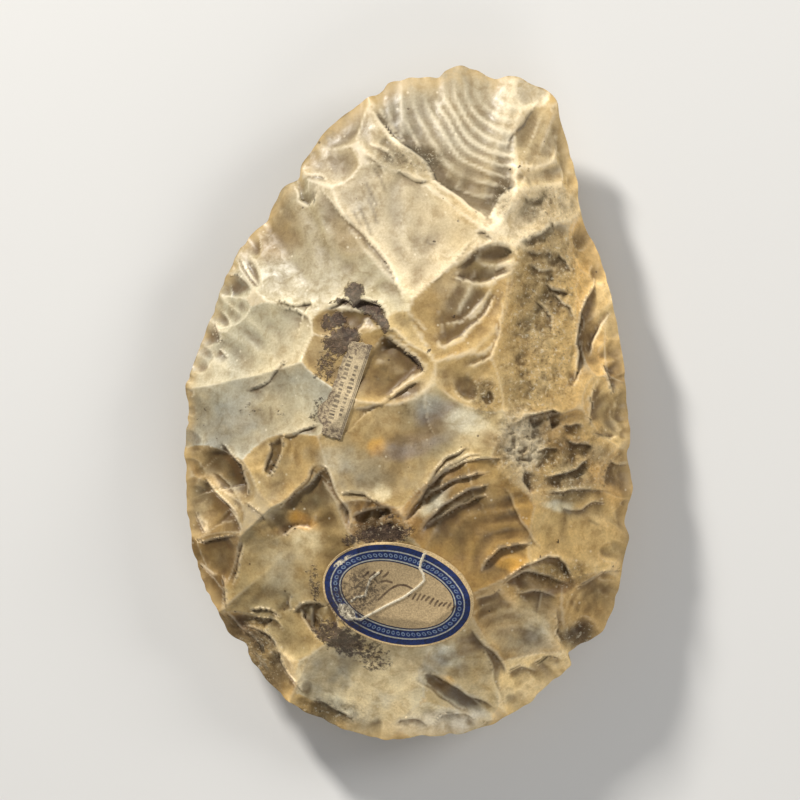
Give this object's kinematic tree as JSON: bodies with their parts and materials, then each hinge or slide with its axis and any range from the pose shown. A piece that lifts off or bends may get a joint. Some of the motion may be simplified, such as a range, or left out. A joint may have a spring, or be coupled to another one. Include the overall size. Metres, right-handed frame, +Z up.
{
  "type": "stone hand axe",
  "caption": "Pear-shaped flaked flint hand axe, lying flat: a thick rounded butt thinning to a broad point, with a sharp scalloped edge all round and old paper labels on its upper face.",
  "frame": {"origin": "On the surface the axe lies on, below the middle of its outline.", "axes": "+X across the axe to the right seen from above with the point away, +Y along its length towards the point, +Z up from the surface it lies on."},
  "size_m": [0.1003, 0.1503, 0.0343],
  "materials": {
    "flint": "patinated flint, smooth and slightly waxy, cream to ochre with grey-blue mottling",
    "label_paper": "old gummed paper, printed with a blue border, dirty and scuffed",
    "strip_paper": "torn strip of printed paper, faded and stained"
  },
  "bodies": {
    "root": {"hand_axe": "flint", "oval_label": "label_paper", "strip_label": "strip_paper"}
  },
  "joints": []
}
